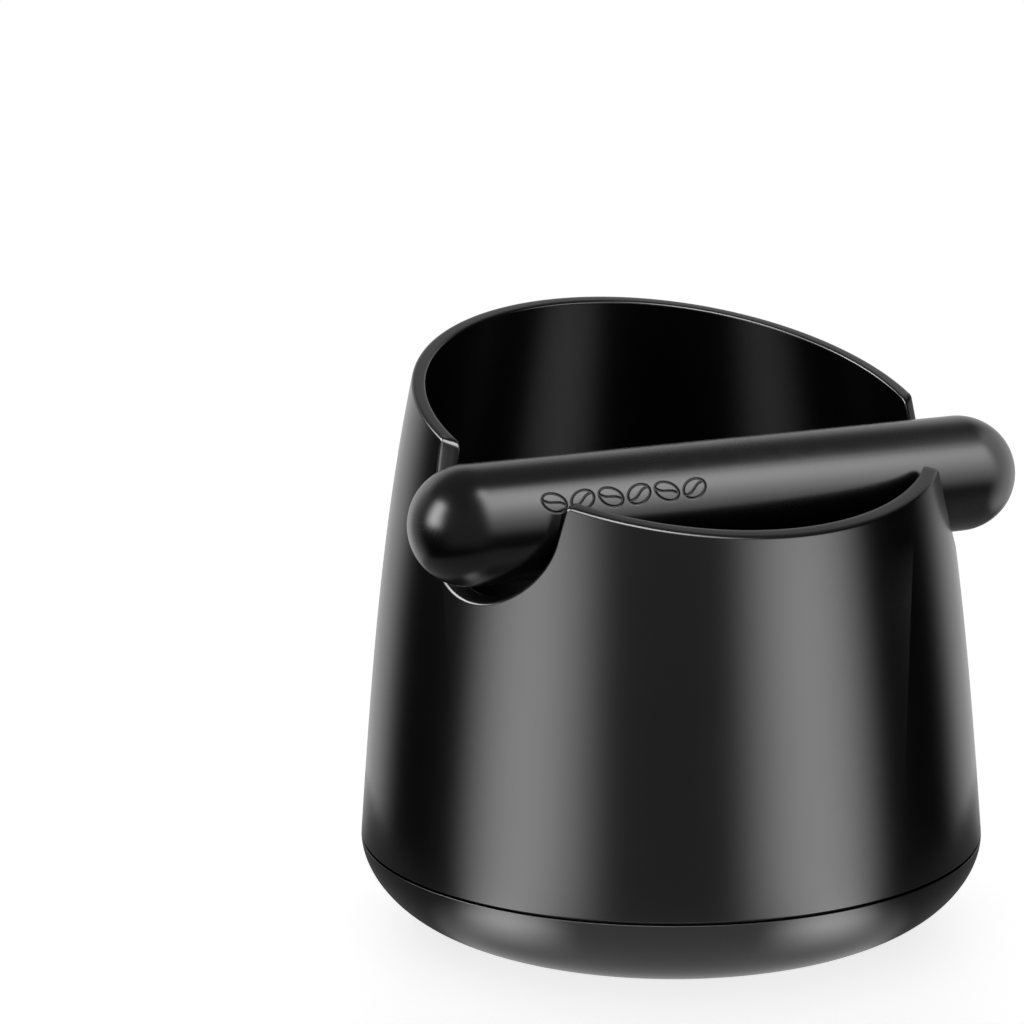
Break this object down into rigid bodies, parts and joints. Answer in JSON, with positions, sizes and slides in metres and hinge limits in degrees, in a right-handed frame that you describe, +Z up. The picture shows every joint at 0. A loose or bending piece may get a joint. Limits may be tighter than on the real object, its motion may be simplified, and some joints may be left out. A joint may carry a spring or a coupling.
{
  "type": "espresso knock box",
  "caption": "Round countertop bin with a slanted rim and a padded knock bar that rests in two notches and lifts out for cleaning.",
  "frame": {"origin": "on the surface the box stands on, under the middle of its outline", "axes": "+X along the bar, +Y from the low front of the rim to its high back, +Z up"},
  "size_m": [0.1549, 0.15, 0.1425],
  "materials": {
    "shell_plastic": "satin moulded black",
    "base_plastic": "satin moulded black, slightly duller",
    "seal_silicone": "matte",
    "foot_rubber": "matte",
    "sleeve_rubber": "satin moulded black",
    "core_steel": "drawn tube",
    "plug_nylon": "moulded"
  },
  "bodies": {
    "bin": {"bin_shell": "shell_plastic", "base_pan": "base_plastic", "base_seal": "seal_silicone", "foot_ring": "foot_rubber"},
    "bar": {"bar_sleeve": "sleeve_rubber", "bar_core": "core_steel", "bar_plug_left": "plug_nylon", "bar_plug_right": "plug_nylon"}
  },
  "joints": [
    {"name": "bar_lift", "type": "slide", "parent": "bin", "child": "bar", "axis": [0, 0, 1], "range_m": [0, 0.06]}
  ]
}
